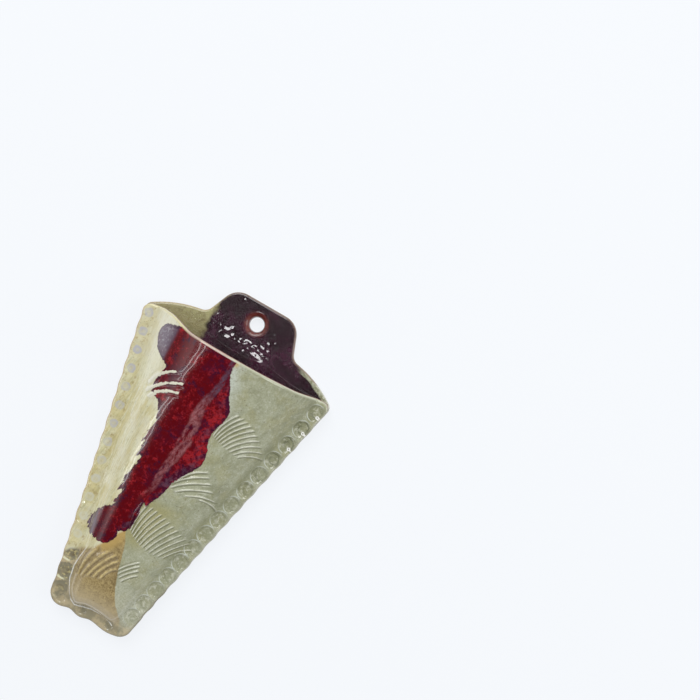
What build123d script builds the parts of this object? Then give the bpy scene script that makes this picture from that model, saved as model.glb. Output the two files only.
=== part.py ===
"""Hanging wall vase: a slab-built ceramic pocket that hangs from a hole in its back slab.

Two clay slabs. The back slab is flat, with sloping shoulders and a raised hanging tab. The front slab
is bowed out into a pocket, and its side and bottom margins are pressed flat on the back slab with a
round stamp, which also pushes the bottom edge of both slabs out into a row of lobes.

The slabs are drawn lying on their backs: x across, y up the vase, z out of the wall. They are stood up
at the end. Frame of the finished part, in millimetres: +Z up, +Y into the wall, -Y out of the pocket.
The origin is the centre of the hanging hole, on the flat rear face that lies against the wall.
"""

import os
from math import hypot, sqrt

from build123d import *

# Overall sizes of the vase.
RIM_WIDTH = 137.4  # across both stamped margins, level with the front rim
BASE_WIDTH = 55.0  # across the bottom edge
BODY_HEIGHT = 193.4  # bottom edge up to the front rim
POCKET_DEPTH = 38.0  # front of the bow at the rim, measured from the back slab
TOE_DEPTH = 11.0  # front of the bow just above the bottom margin
EDGE_HOLLOW = 0.5  # how far each side edge bends in at half height

# Clay thicknesses.
BACK_THICKNESS = 6.0
FRONT_THICKNESS = 5.5
MARGIN_THICKNESS = 4.5  # front slab where the stamp has pressed it thinner

# Stamped margin.
MARGIN_WIDTH = 10.5
BOTTOM_MARGIN_WIDTH = 7.5
STAMP_DIAMETER = 9.0
BOTTOM_STAMP_DIAMETER = 6.5  # what the bow leaves free of a stamp
STAMP_DEPTH = 0.8
STAMP_PITCH = 12.55
STAMP_INSET = 5.0  # side edge in to the stamp's centre
FIRST_STAMP_DROP = 7.0  # front rim down to the centre of the first stamp
LOBE = 1.6  # how far each stamp pushes the bottom edge out
LOBE_NOTCHES = (-12.0, 3.0)  # where the lobes of the bottom edge meet, from the centre line

# Shoulders, hanging tab and hole of the back slab.
SHOULDER_RISE = 14.5  # front rim up to the foot of the tab
SHOULDER_CROWN = 2.6  # how far the shoulder bows up from its chord
TAB_RISE = 37.0  # front rim up to the top of the tab
TAB_FOOT_WIDTH = 64.0
TAB_TOP_WIDTH = 46.0
TAB_FOOT_RADIUS = 7.0
TAB_TOP_RADIUS = 13.0
TOP_CORNER_RADIUS = 5.0
BOTTOM_CORNER_RADIUS = 7.0
HOLE_RISE = 23.0  # front rim up to the centre of the hole
HOLE_DIAMETER = 9.5
HOLE_ROUNDING = 3.4  # soft front lip of the hole

# Finger-rounded edges.
EDGE_ROUNDING = 1.8
CREASE_ROUNDING = 3.0  # where the bow meets the stamped margin

# The bow across the pocket is (1 - u ** flatness) ** BOW_FLARE, with u from 0 on the centre line to 1
# where it meets the back slab. The flatness runs evenly from TOE_FLATNESS to BOW_FLATNESS at the rim.
# The depth grows up the pocket as height ** BOW_GROWTH, and at the toe it closes as a quarter ellipse.
TOE_FLATNESS = 4.0
BOW_FLATNESS = 2.4
BOW_FLARE = 1.2
BOW_GROWTH = 1.15
BOW_STATIONS = (-1.0, -0.9, -0.7, -0.4, 0.0, 0.4, 0.7, 0.9, 1.0)
TOE_LENGTH = 9.0  # height over which the bow closes at the bottom
TOE_SECTIONS = 4
BODY_SECTIONS = 4
TOE_SEAT = 0.6  # share of the margin's thickness that the closed toe is sunk in it
FLANK_SLANT = 1.3  # clay cut level across the sloping flank, as a share of its thickness
RIM_OVERRUN = 6.0  # how far the hollow is drawn past the rim, to cut it open

# Places that follow from the sizes above.
RIM_Y = -HOLE_RISE
BOTTOM_Y = RIM_Y - BODY_HEIGHT
TOE_Y = BOTTOM_Y + BOTTOM_MARGIN_WIDTH
TAB_TOP_Y = RIM_Y + TAB_RISE
SHOULDER_Y = RIM_Y + SHOULDER_RISE
STAMP_ROW_Y = BOTTOM_Y + BOTTOM_MARGIN_WIDTH / 2
MARGIN_FACE = BACK_THICKNESS + MARGIN_THICKNESS
SIDE_RUN = (RIM_WIDTH - BASE_WIDTH) / 2
STAMP_STEP = STAMP_PITCH * BODY_HEIGHT / hypot(BODY_HEIGHT, SIDE_RUN)
TOLERANCE = 0.01


def half_width(y):
    """Half the width over the stamped margins at height y, with the hollow of the side edge."""
    share = (y - BOTTOM_Y) / BODY_HEIGHT
    return BASE_WIDTH / 2 + SIDE_RUN * share - EDGE_HOLLOW * 4 * share * (1 - share)


def side_stamps():
    """Heights of the stamps along a side, from the top corner down to the row along the bottom."""
    top = RIM_Y - FIRST_STAMP_DROP
    lowest = TOE_Y + STAMP_DIAMETER / 2
    count = int((top - lowest) / STAMP_STEP) + 1
    return [top - i * STAMP_STEP for i in range(count)]


def bottom_stamps():
    """Distances from the centre line of the stamps along the bottom edge, one in each lobe."""
    ends = [-BASE_WIDTH / 2, *LOBE_NOTCHES, BASE_WIDTH / 2]
    return [(left + right) / 2 for left, right in zip(ends, ends[1:])]


def margin_edge():
    """Edge of both slabs: down the hollow left side, along the lobed bottom and up the right side."""
    middle = (RIM_Y + BOTTOM_Y) / 2
    top_left = (-RIM_WIDTH / 2, RIM_Y)
    top_right = (RIM_WIDTH / 2, RIM_Y)
    bottom = [(-BASE_WIDTH / 2, BOTTOM_Y)]
    for x in bottom_stamps():
        bottom += [(x, BOTTOM_Y - LOBE), (2 * x - bottom[-1][0], BOTTOM_Y)]
    left = ThreePointArc(top_left, (-half_width(middle), middle), bottom[0])
    right = ThreePointArc(bottom[-1], (half_width(middle), middle), top_right)
    return left + Spline(*bottom) + right


def rounded_corner(slab, x, y, radius):
    """The slab with its outline rounded at the corner (x, y) and at its mirror image."""
    through = slab.edges().filter_by(Axis.Z)
    level = through.filter_by_position(Axis.Y, y - TOLERANCE, y + TOLERANCE)
    return fillet([e for e in level if abs(abs(e.center().X) - x) < TOLERANCE], radius)


def back_outline():
    """The back slab face on: margin edge, then shoulder, hanging tab and shoulder."""
    corner = RIM_WIDTH / 2
    foot = TAB_FOOT_WIDTH / 2
    top = TAB_TOP_WIDTH / 2
    right = SagittaArc((corner, RIM_Y), (foot, SHOULDER_Y), -SHOULDER_CROWN)
    tab = Polyline((foot, SHOULDER_Y), (top, TAB_TOP_Y), (-top, TAB_TOP_Y), (-foot, SHOULDER_Y))
    left = SagittaArc((-foot, SHOULDER_Y), (-corner, RIM_Y), -SHOULDER_CROWN)
    return make_face(margin_edge() + right + tab + left)


def back_slab():
    """Flat slab with rounded outline corners, rounded edges and the hanging hole."""
    slab = extrude(back_outline(), BACK_THICKNESS)
    slab = rounded_corner(slab, RIM_WIDTH / 2, RIM_Y, TOP_CORNER_RADIUS)
    slab = rounded_corner(slab, BASE_WIDTH / 2, BOTTOM_Y, BOTTOM_CORNER_RADIUS)
    slab = rounded_corner(slab, TAB_FOOT_WIDTH / 2, SHOULDER_Y, TAB_FOOT_RADIUS)
    slab = rounded_corner(slab, TAB_TOP_WIDTH / 2, TAB_TOP_Y, TAB_TOP_RADIUS)
    slab = fillet(slab.faces().sort_by(Axis.Z)[0].edges(), EDGE_ROUNDING)
    front_edges = slab.faces().sort_by(Axis.Z)[-1].edges()
    slab = fillet([e for e in front_edges if e.center().Y > RIM_Y], EDGE_ROUNDING)
    slab -= Cylinder(HOLE_DIAMETER / 2, 3 * BACK_THICKNESS)
    lip = slab.faces().sort_by(Axis.Z)[-1].inner_wires()[0].edges()
    return fillet(lip, HOLE_ROUNDING)


def bow_share(y):
    """Height y as a share of the way from the toe up to the rim."""
    return (y - TOE_Y) / (RIM_Y - TOE_Y)


def bow_depth(y):
    """Depth of the outer bow at height y, from the toe up to the rim."""
    return TOE_DEPTH + (POCKET_DEPTH - TOE_DEPTH) * bow_share(y) ** BOW_GROWTH


def bow_flatness(y):
    """How square the bow is across the pocket at height y."""
    return TOE_FLATNESS + (BOW_FLATNESS - TOE_FLATNESS) * bow_share(y)


def bow_reach(y):
    """Half width of the outer bow on the back slab, so that it leaves the margin at its inner edge."""
    crease = (1 - (MARGIN_THICKNESS / bow_depth(y)) ** (1 / BOW_FLARE)) ** (1 / bow_flatness(y))
    return (half_width(y) - MARGIN_WIDTH) / crease


def bow_section(y, inset, opened):
    """Face across the pocket at height y, inset by a clay thickness, with the toe opened by a share."""
    reach = bow_reach(y) - FLANK_SLANT * inset
    full = bow_depth(y) - inset
    closed = TOE_SEAT * MARGIN_THICKNESS
    depth = closed + (full - closed) * opened
    points = []
    for u in BOW_STATIONS:
        rise = depth * (1 - abs(u) ** bow_flatness(y)) ** BOW_FLARE
        points.append((u * reach, y, BACK_THICKNESS + rise))
    return make_face(Spline(*points) + Line(points[-1], points[0]))


def bow(inset, start, end):
    """Solid bow from start up to end: a short loft that closes the toe and a long one to the top."""
    toe = []
    for i in range(TOE_SECTIONS + 1):
        share = i / TOE_SECTIONS
        toe.append(bow_section(start + share * TOE_LENGTH, inset, sqrt(1 - (1 - share) ** 2)))
    body = []
    for i in range(BODY_SECTIONS + 1):
        share = i / BODY_SECTIONS
        body.append(bow_section(start + TOE_LENGTH + share * (end - start - TOE_LENGTH), inset, 1.0))
    return loft(toe) + loft(body)


def crease(slab):
    """Edges where the bow meets the inner side of the flat margin, below the rim."""
    face = slab.faces().filter_by(Axis.Z).sort_by(Axis.Z)[-1]
    edges = []
    for edge in face.edges():
        middle = edge @ 0.5
        inside = abs(middle.X) < half_width(middle.Y) - MARGIN_WIDTH / 2
        if inside and STAMP_ROW_Y < middle.Y < RIM_Y - TOLERANCE:
            edges.append(edge)
    return edges


def stamps():
    """Round stamps set into the margin: down both sides and along the bottom."""
    side = extrude(Circle(STAMP_DIAMETER / 2), FRONT_THICKNESS)
    bottom = extrude(Circle(BOTTOM_STAMP_DIAMETER / 2), FRONT_THICKNESS)
    pressed = [Pos(x, STAMP_ROW_Y, MARGIN_FACE - STAMP_DEPTH) * bottom for x in bottom_stamps()]
    for y in side_stamps():
        x = half_width(y) - STAMP_INSET
        pressed += [Pos(place, y, MARGIN_FACE - STAMP_DEPTH) * side for place in (x, -x)]
    return pressed


def front_slab():
    """Stamped margin and bowed pocket in one slab, hollowed to its clay thickness.

    Once the crease is rounded, the rim runs smoothly on through it and round the top corners into the
    margin edge, so rounding the two rim curves rounds every free edge of the slab.
    """
    outline = make_face(margin_edge() + Line((RIM_WIDTH / 2, RIM_Y), (-RIM_WIDTH / 2, RIM_Y)))
    plate = extrude(outline, MARGIN_THICKNESS)
    plate = rounded_corner(plate, RIM_WIDTH / 2, RIM_Y, TOP_CORNER_RADIUS)
    plate = rounded_corner(plate, BASE_WIDTH / 2, BOTTOM_Y, BOTTOM_CORNER_RADIUS)
    slab = Pos(0, 0, BACK_THICKNESS) * plate + bow(0.0, TOE_Y, RIM_Y)
    slab -= bow(FRONT_THICKNESS, TOE_Y + FRONT_THICKNESS, RIM_Y + RIM_OVERRUN)
    slab = fillet(crease(slab), CREASE_ROUNDING)
    rim = slab.faces().filter_by(Axis.Y).sort_by(Axis.Y)[-1]
    slab = fillet([e for e in rim.edges() if e.center().Z > MARGIN_FACE + TOLERANCE], EDGE_ROUNDING)
    return slab - stamps()


def main():
    """Write one file for each slab, stood up against the wall."""
    os.makedirs("parts", exist_ok=True)
    export_step(Plane.XZ * back_slab(), "parts/back_slab.step")
    export_step(Plane.XZ * front_slab(), "parts/front_slab.step")


main()
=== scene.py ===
"""Hanging wall vase: the glazed surfaces of a slab-built ceramic wall pocket, and a small studio for it.

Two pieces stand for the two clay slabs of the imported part. The front slab is bowed out into a pocket over a
flat margin that is pressed down with a round stamp, and combed with fans of curved strokes. The back slab is
flat, with sloping shoulders and a tab with a hanging hole.

Shapes are worked out in millimetres: x across the slab, z up it, and the depth out of the wall. They go into
the meshes in metres, with the depth along -Y. The origin is the hanging hole's centre on the rear face.
"""

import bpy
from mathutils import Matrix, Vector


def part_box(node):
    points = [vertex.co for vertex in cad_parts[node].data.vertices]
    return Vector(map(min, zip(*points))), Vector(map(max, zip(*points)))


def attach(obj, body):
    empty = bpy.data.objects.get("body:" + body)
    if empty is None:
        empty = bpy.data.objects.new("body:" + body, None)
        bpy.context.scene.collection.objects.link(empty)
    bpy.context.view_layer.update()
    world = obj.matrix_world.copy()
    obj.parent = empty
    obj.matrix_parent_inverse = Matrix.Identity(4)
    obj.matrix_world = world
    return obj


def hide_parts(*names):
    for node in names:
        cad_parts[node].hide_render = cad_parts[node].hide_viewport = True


bl_info = {
    "name": "Hanging Wall Vase",
    "version": (1, 0, 0),
    "blender": (4, 5, 0),
    "location": "View3D > Sidebar > Wall Vase",
    "description": "Builds the glazed slabs of a hanging wall vase and a studio to show it",
    "category": "Add Mesh",
}

from collections import namedtuple
from math import atan, pi
from types import SimpleNamespace

import bpy
import numpy as np
from bpy.props import FloatProperty, FloatVectorProperty, PointerProperty
from bpy.types import Operator, Panel, PropertyGroup
from mathutils import Matrix, Vector

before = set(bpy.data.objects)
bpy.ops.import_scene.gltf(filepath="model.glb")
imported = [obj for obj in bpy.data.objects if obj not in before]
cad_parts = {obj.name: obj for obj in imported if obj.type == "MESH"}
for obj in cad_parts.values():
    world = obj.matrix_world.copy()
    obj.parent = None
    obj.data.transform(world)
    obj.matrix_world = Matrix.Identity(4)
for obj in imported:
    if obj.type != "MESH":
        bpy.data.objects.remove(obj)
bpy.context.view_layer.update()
BACK_LOW, BACK_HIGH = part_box("back_slab")

MM = 0.001
# Half the picture's width and the camera's focal length, both in pixels
HALF_PICTURE = 350
FOCAL_LENGTH = 769.4

# Front slab's mesh: cells of its outer face, and how much they crowd to the sides
FRONT_ROWS = 400
FRONT_COLUMNS = 200
COLUMN_CROWDING = 0.2
# Hollow behind it: how many outer cells share one of its cells, how far its border lies inside the edge, over
# what height that grows, and the half width in which it shrinks
HOLLOW_STEP = 8
HOLLOW_INSET = 0.8
HOLLOW_EASE = 6.0
HOLLOW_CORE = 20.0
# Rounded edges: rings round them, how square they are, and where the rim begins, in edge rolls below its top
EDGE_RINGS = 8
FRONT_SQUARENESS = 0.75
BACK_SQUARENESS = 0.7
RIM_BAND = (2.5, 1.5)
# Where values kept at the points change round an edge, from 0 at the front to 1 at the rear: thin glaze on
# the front slab's rim and edge and on the back slab's edge, the pocket's inner glaze, and bare clay behind
RIM_FROM, RIM_TO = (0.0, 0.14), (0.85, 0.65)
FRONT_EDGE_FROM = (0.02, 0.3)
BACK_EDGE_FROM, BACK_EDGE_TO = (0.0, 0.3), (1.0, 0.9)
INNER_FROM = (0.28, 0.42)
CLAY_FROM = (0.62, 0.9)
# Depths where bare clay begins in the hole, and the largest distance kept at the points
BORE_CLAY = (1.2, 0.2)
FAR = 9.0

# Outlines: points along a straight or arched run and round a corner, points of the shoulder that set its
# direction at its ends, and the shortest run kept beside a corner
RUN_POINTS = 160
SHOULDER_POINTS = 60
CORNER_CELLS = 24
SHOULDER_LEAD = 3
LEAST_RUN = 0.1

# Back slab's mesh: cells below the hole's window, in it, above it, and on each side of it
LOWER_ROWS = 190
WINDOW_CELLS = 24
UPPER_ROWS = 20
SIDE_COLUMNS = 45
WINDOW_HALF = 9.5
WINDOW_SHARE = 0.62
# Its hole: rings round the lip, rear rings as radius past the bore and depth, and the lip's thin glaze
LIP_RINGS = 9
BORE_FOOT = ((0.0, 0.5), (0.15, 0.15), (0.5, 0.0))
LIP_GLOW = 1.6
# Where the back slab is uneven: from below to above the rim, and from a distance off the hole, in windows
BARE_BAND = (-2.0, 10.0)
BARE_RADIUS = (1.0, 1.6)

# Bow of the pocket, as in the part
TOE_FLATNESS = 4.0
BOW_FLATNESS = 2.4
BOW_FLARE = 1.2
BOW_GROWTH = 1.15
TOE_LENGTH = 9.0
TOE_SEAT = 0.6
FLANK_SLANT = 1.3
# Where the foot of the bow is pushed lower: place across, drop and width
TOE_DIPS = ((-10.5, 2.4, 5.0), (18.0, 2.6, 7.0))

# Crease between bow and margin: how softly they meet, the width of the groove there and its depth, and the
# part of the clay's unevenness that the pressing takes out of the margin
CREASE_BLEND = 1.3
CREASE_WIDTH = 2.2
CREASE_DIP = 0.13
MARGIN_BLEND = 1.5
MARGIN_CALM = 0.6

# Stamped margin: each side's number of stamps, the height of the first, the step to the next, and by how much
# the steps get shorter; and how hard the left, right and bottom stamps are pressed
LEFT_STAMPS = (16, -27.4, 12.05, 0.0)
RIGHT_STAMPS = (15, -29.9, 13.3, 0.17)
STAMP_PRESS = (0.5, 1.0, 0.8)
DISH_FLOOR = 0.62
STAMP_FADE = (1.05, 0.98)
SWIRL_TURNS = 1.7
SCALLOP_POWER = 14
SCALLOP_FADE = 9.0
LOBE_NOTCHES = (-12.0, 3.0)
LOBE_FADE = 7.0

# Rise of the rim towards its corners: where it starts and ends across, and its height; and its reach down
EARS = ((-25.0, -48.0, 3.4), (-52.0, -66.0, -1.8), (42.0, 63.0, 2.0))
EAR_REACH = 34.0

# Unevenness of hand-worked clay, two slow waves and two faint short ones, and of the back slab's thick glaze,
# waves 3 to 6 mm long that beat together: height, radians per millimetre across and up, and start in radians
CLAY_WAVES = (
    (0.1, 0.13, 0.07, 0.6), (0.06, -0.09, 0.21, 2.1),
    (0.012, 0.47, 0.31, 1.0), (0.01, -0.36, 0.55, 0.0),
)  # fmt: skip
GLAZE_WAVES = (
    (0.01, 1.3, 0.7, 0.0), (0.01, -1.2, 1.1, 2.0), (0.01, 0.4, 1.7, 1.0),
    (0.01, 1.9, -0.5, 4.0), (0.01, 0.8, -0.9, 5.0), (0.01, -0.2, 1.15, 3.0),
)  # fmt: skip


def linear(red, green, blue):
    """Linear light of a screen colour given as 0 to 255."""
    share = np.array([red, green, blue]) / 255
    return tuple(np.where(share <= 0.04045, share / 12.92, ((share + 0.055) / 1.055) ** 2.4).tolist())


def length(name, text, millimetres):
    """A length, given in millimetres and kept in metres."""
    return FloatProperty(name=name, description=text, default=millimetres * MM, unit="LENGTH", precision=4)


def watts(name, text, power):
    """A lamp's power."""
    return FloatProperty(name=name, description=text, default=power, unit="POWER")


def angle(name, text, radians):
    """An angle."""
    return FloatProperty(name=name, description=text, default=radians, subtype="ANGLE")


def colour(name, text, red, green, blue):
    """A colour, given as screen values and kept as linear light."""
    return FloatVectorProperty(
        name=name, description=text, subtype="COLOR", size=3, min=0, max=1, default=linear(red, green, blue)
    )


class VaseSizes(PropertyGroup):
    """Lengths of the two slabs."""

    rim_width: length("Rim width", "Width of both slabs at the rim", 137.4)
    base_width: length("Base width", "Width of both slabs at the bottom", 55.0)
    body_height: length("Body height", "Height from the bottom edge to the rim", 193.4)
    edge_hollow: length("Edge hollow", "How far the sides curve in at mid height", 0.5)
    pocket_depth: length("Pocket depth", "Depth of the bow at the rim", 38.0)
    toe_depth: length("Toe depth", "Depth of the bow at its foot", 11.0)
    back_thickness: length("Back thickness", "Thickness of the back slab", -BACK_LOW.y / MM)
    wall_thickness: length("Wall thickness", "Thickness of the bowed wall", 5.5)
    margin_thickness: length("Margin thickness", "Thickness of the pressed margin", 4.5)
    margin_width: length("Margin width", "Width of the pressed margin", 10.5)
    bottom_margin: length("Bottom margin", "Height of the margin below the bow", 7.5)
    edge_roll: length("Edge roll", "Radius of the rounded edges", 1.8)
    bottom_corner: length("Bottom corner", "Radius of the bottom corners", 7.0)
    top_corner: length("Top corner", "Radius of the shoulder corners", 5.0)
    lobe: length("Lobe", "How far the bottom edge is pushed out at a stamp", 1.6)
    scallop: length("Scallop", "How far the side edges are pushed out at a stamp", 0.3)
    stamp_diameter: length("Stamp diameter", "Diameter of the round stamp", 12.2)
    bottom_stamp: length("Bottom stamp", "Diameter of the stamps along the bottom", 6.5)
    stamp_depth: length("Stamp depth", "Depth of a stamped dish", 0.8)
    stamp_inset: length("Stamp inset", "Distance of the stamps from the side edge", 5.3)
    shoulder_rise: length("Shoulder rise", "Height of the tab's foot above the rim", 14.5)
    shoulder_crown: length("Shoulder crown", "How far a shoulder is arched", 2.6)
    tab_foot_width: length("Tab foot width", "Width of the tab at the shoulders", 64.0)
    tab_top_width: length("Tab top width", "Width of the tab at its top", 46.0)
    tab_foot_radius: length("Tab foot radius", "Radius between shoulder and tab", 7.0)
    tab_top_radius: length("Tab top radius", "Radius of the tab's corners", 13.0)
    tab_top: length("Tab top", "Height of the tab's top above the hole", BACK_HIGH.z / MM)
    hole_rise: length("Hole rise", "Height of the hole above the rim", 23.0)
    hole_diameter: length("Hole diameter", "Diameter of the hanging hole", 9.5)
    hole_rounding: length("Hole rounding", "Radius of the soft lip round the hole", 3.4)


class VaseGlazes(PropertyGroup):
    """Colours of the glazes and of the clay."""

    celadon: colour("Celadon", "Grey green glaze of the right side", 179, 182, 157)
    celadon_pale: colour("Pale celadon", "Where the green glaze is thin", 210, 211, 194)
    celadon_deep: colour("Deep celadon", "Where the green glaze pools", 130, 132, 102)
    moss: colour("Moss", "Lines of the stamp in the green glaze", 104, 108, 84)
    frost: colour("Frost", "Bluish bloom of the green glaze beside the red", 202, 208, 196)
    # Painted highlight: the white of the glints in the upper stamps and of the line round the bow's foot
    glint: colour("Glint", "Drops of clear glaze in the upper stamps", 248, 248, 244)
    cream: colour("Cream", "Glaze of the left side", 221, 219, 186)
    milk: colour("Milk", "White clouds in the cream", 222, 220, 200)
    straw: colour("Straw", "Yellow streaks in the cream", 206, 194, 140)
    wheat: colour("Wheat", "Comb ridges in the brown glaze", 204, 184, 128)
    pool: colour("Pool", "Milky glaze in the left stamps", 188, 188, 192)
    amber: colour("Amber", "Brown glaze at the foot", 170, 150, 105)
    amber_deep: colour("Deep amber", "Where the brown glaze pools", 110, 93, 60)
    gold: colour("Gold", "Brown glaze just below the red", 196, 166, 102)
    buff: colour("Buff", "Thin glaze at the bottom", 188, 174, 142)
    slate: colour("Slate", "Grey brown glaze of the lower margin", 136, 131, 110)
    red: colour("Red", "Body of the poured glaze", 96, 2, 12)
    red_bright: colour("Bright red", "Mottling of the poured glaze", 164, 34, 40)
    purple: colour("Purple", "Edges and specks of the poured glaze", 58, 14, 44)
    violet: colour("Violet", "Milky bloom of the poured glaze", 92, 72, 90)
    lavender: colour("Lavender", "Milky streaks of the poured glaze", 152, 98, 102)
    plum: colour("Plum", "Glaze of the back slab and the inside", 34, 12, 22)
    plum_light: colour("Light plum", "Mottling of the plum glaze", 78, 36, 60)
    maroon: colour("Maroon", "Thin plum glaze round the hole and edges", 118, 52, 42)
    olive: colour("Olive", "Glaze of the left shoulder", 168, 164, 118)
    butter: colour("Butter", "Cream glaze over the rim", 204, 196, 148)
    rim: colour("Rim", "Glaze broken thin over the rim", 186, 168, 150)
    tan: colour("Tan", "Glaze broken thin over the outer edges", 176, 146, 98)
    umber: colour("Umber", "Edge of the plum glaze", 128, 100, 80)
    stone: colour("Stone", "Grey edge of the green side", 188, 187, 170)
    clay: colour("Clay", "Bare stoneware of the rear face", 194, 168, 136)
    iron: colour("Iron", "Iron specks in glaze and clay", 92, 70, 48)


class VaseStudio(PropertyGroup):
    """Camera and lamps."""

    camera_place: FloatVectorProperty(
        name="Camera", description="Place of the camera", subtype="TRANSLATION", default=(0.0602, -0.5, 0.016)
    )
    camera_roll: angle("Camera roll", "Turn of the camera about its line of sight", 0.525)
    camera_view: angle("Field of view", "Camera's angle of view", 2 * atan(HALF_PICTURE / FOCAL_LENGTH))
    key_power: watts("Key", "Power of the large soft lamp", 13.0)
    fill_power: watts("Fill", "Power of the fill lamp", 6.0)
    strip_power: watts("Strip", "Power of each narrow lamp", 0.25)
    glint_power: watts("Glint", "Power of the small lamp", 0.3)
    rear_power: watts("Rear", "Power of the lamp behind", 7.0)
    room_light: FloatProperty(name="Room light", description="Brightness of the room", default=0.5, min=0)


def millimetres(sizes):
    """The lengths of the property group in millimetres, with the heights that follow from them."""
    v = SimpleNamespace(**{key: getattr(sizes, key) / MM for key in VaseSizes.__annotations__})
    v.rim = -v.hole_rise
    v.bottom = v.rim - v.body_height
    v.toe = v.bottom + v.bottom_margin
    v.margin_face = v.back_thickness + v.margin_thickness
    v.shoulder = v.rim + v.shoulder_rise
    return v


def smoothstep(low, high, value):
    """0 up to low, 1 from high on, and an S curve between."""
    share = np.clip((value - low) / (high - low), 0, 1)
    return share * share * (3 - 2 * share)


def soft_max(first, second, blend):
    """The larger of two heights, with the corner between them rounded over a blend length."""
    share = np.clip(0.5 + 0.5 * (second - first) / blend, 0, 1)
    return first + (second - first) * share + blend * share * (1 - share)


def bell(distance, width):
    """A bump of height 1 that falls away with the square of the distance."""
    return np.exp(-((distance / width) ** 2))


def smooth_line(knots, height):
    """A place that follows height through a few knots (height, place), as a cubic with averaged slopes."""
    at, place = np.array(knots, float).T
    slope = np.gradient(place, at)
    cell = np.clip(np.searchsorted(at, height) - 1, 0, len(at) - 2)
    step = at[cell + 1] - at[cell]
    t = np.clip((height - at[cell]) / step, 0, 1)
    rise = place[cell + 1] - place[cell]
    curve = t * t * (3 - 2 * t) * rise + t * (1 - t) * step * ((1 - t) * slope[cell] - t * slope[cell + 1])
    return place[cell] + curve


def half_width(v, z):
    """Half the width at height z: straight from base to rim, less a shallow parabola."""
    share = (z - v.bottom) / v.body_height
    straight = v.base_width / 2 + (v.rim_width - v.base_width) / 2 * share
    return straight - v.edge_hollow * 4 * share * (1 - share)


def bow_rise(v, x, z, wall=0.0):
    """Rise of the bow above the back slab: depth times (1 - |u| to a power) to a power.

    Here u is x over the reach. The inner power, the flatness, runs evenly from the toe to the rim, and the
    depth grows with height. The foot opens along a quarter ellipse. A wall thickness gives the hollow behind
    it: less deep, less wide, and starting higher.
    """
    share = np.clip((z - v.toe) / (v.rim - v.toe), 0, None)
    flatness = TOE_FLATNESS + (BOW_FLATNESS - TOE_FLATNESS) * share
    depth = v.toe_depth + (v.pocket_depth - v.toe_depth) * share**BOW_GROWTH
    crease = (1 - (v.margin_thickness / depth) ** (1 / BOW_FLARE)) ** (1 / flatness)
    reach = (half_width(v, z) - v.margin_width) / crease - FLANK_SLANT * wall
    profile = np.clip(1 - np.abs(x / reach) ** flatness, 0, 1) ** BOW_FLARE
    dip = sum(drop * bell(x - at, width) for at, drop, width in TOE_DIPS)
    opening = np.clip((z + dip - v.toe - wall) / TOE_LENGTH, 0, 1)
    closed = 0.0 if wall else TOE_SEAT * v.margin_thickness
    return (closed + (depth - wall - closed) * np.sqrt(1 - (1 - opening) ** 2)) * profile


def rounded_corner(before, at, after, radius):
    """Points of the arc of a radius that rounds the corner of two straight runs."""
    before, at, after = (np.array(point, float) for point in (before, at, after))
    first = (at - before) / np.linalg.norm(at - before)
    second = (after - at) / np.linalg.norm(after - at)
    turn = np.arctan2(first[0] * second[1] - first[1] * second[0], first @ second)
    start = at - first * radius * np.tan(abs(turn) / 2)
    inward = np.sign(turn) * np.array([-first[1], first[0]])
    angle = np.linspace(0, turn, CORNER_CELLS + 1)[:, None]
    arm = -inward * radius
    across = np.array([-arm[1], arm[0]])
    return start + inward * radius + arm * np.cos(angle) + across * np.sin(angle)


def side_run(v, low, high, count=RUN_POINTS):
    """Points up the right edge between two heights."""
    z = np.linspace(low, high, count)
    return np.stack([half_width(v, z), z], -1)


def front_outline(v):
    """Right half of the front slab's outline, from the bottom edge to the rim."""
    low, high = side_run(v, v.bottom, v.bottom + 1, 2), side_run(v, v.rim - 1, v.rim, 2)
    foot = rounded_corner((0, v.bottom), low[0], low[1], v.bottom_corner)
    head = rounded_corner(high[0], high[1], (0, v.rim), v.top_corner)
    return np.concatenate([foot, side_run(v, foot[-1, 1], head[0, 1])[1:-1], head])


def back_outline(v):
    """Right half of the back slab's outline: side, arched shoulder and tab, with their corners rounded."""
    low, high = side_run(v, v.bottom, v.bottom + 1, 2), side_run(v, v.rim - 1, v.rim, 2)
    corner, tab_foot = high[1], np.array([v.tab_foot_width / 2, v.shoulder])
    tab_head = np.array([v.tab_top_width / 2, v.tab_top])
    share = np.linspace(0, 1, SHOULDER_POINTS)[:, None]
    chord = tab_foot - corner
    up = np.array([chord[1], -chord[0]]) / np.linalg.norm(chord)
    shoulder = corner + chord * share + up * v.shoulder_crown * 4 * share * (1 - share)
    foot = rounded_corner((0, v.bottom), low[0], low[1], v.bottom_corner)
    bend = rounded_corner(high[0], corner, shoulder[SHOULDER_LEAD], v.top_corner)
    valley = rounded_corner(shoulder[-1 - SHOULDER_LEAD], tab_foot, tab_head, v.tab_foot_radius)
    crown = rounded_corner(tab_foot, tab_head, (0, v.tab_top), v.tab_top_radius)
    outer, inner = bend[-1, 0] - LEAST_RUN, valley[0, 0] + LEAST_RUN
    between = shoulder[(shoulder[:, 0] < outer) & (shoulder[:, 0] > inner)]
    return np.concatenate([foot, side_run(v, foot[-1, 1], bend[0, 1])[1:-1], bend, between, valley, crown])


def shrunk(path, by):
    """A path moved to its left by a length, which is inwards on an outline that runs anticlockwise."""
    along = np.gradient(path, axis=0)
    along /= np.linalg.norm(along, axis=1, keepdims=True)
    return path + by * np.stack([-along[:, 1], along[:, 0]], -1)


def spread(path, count):
    """A path cut into count runs of the same length."""
    gone = np.concatenate([[0], np.cumsum(np.linalg.norm(np.diff(path, axis=0), axis=1))])
    at = np.linspace(0, gone[-1], count + 1)
    return np.stack([np.interp(at, gone, path[:, 0]), np.interp(at, gone, path[:, 1])], -1)


def lobe_ends(v):
    """Places along the bottom edge where its lobes begin and end."""
    return np.array([-v.base_width / 2, *LOBE_NOTCHES, v.base_width / 2])


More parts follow.
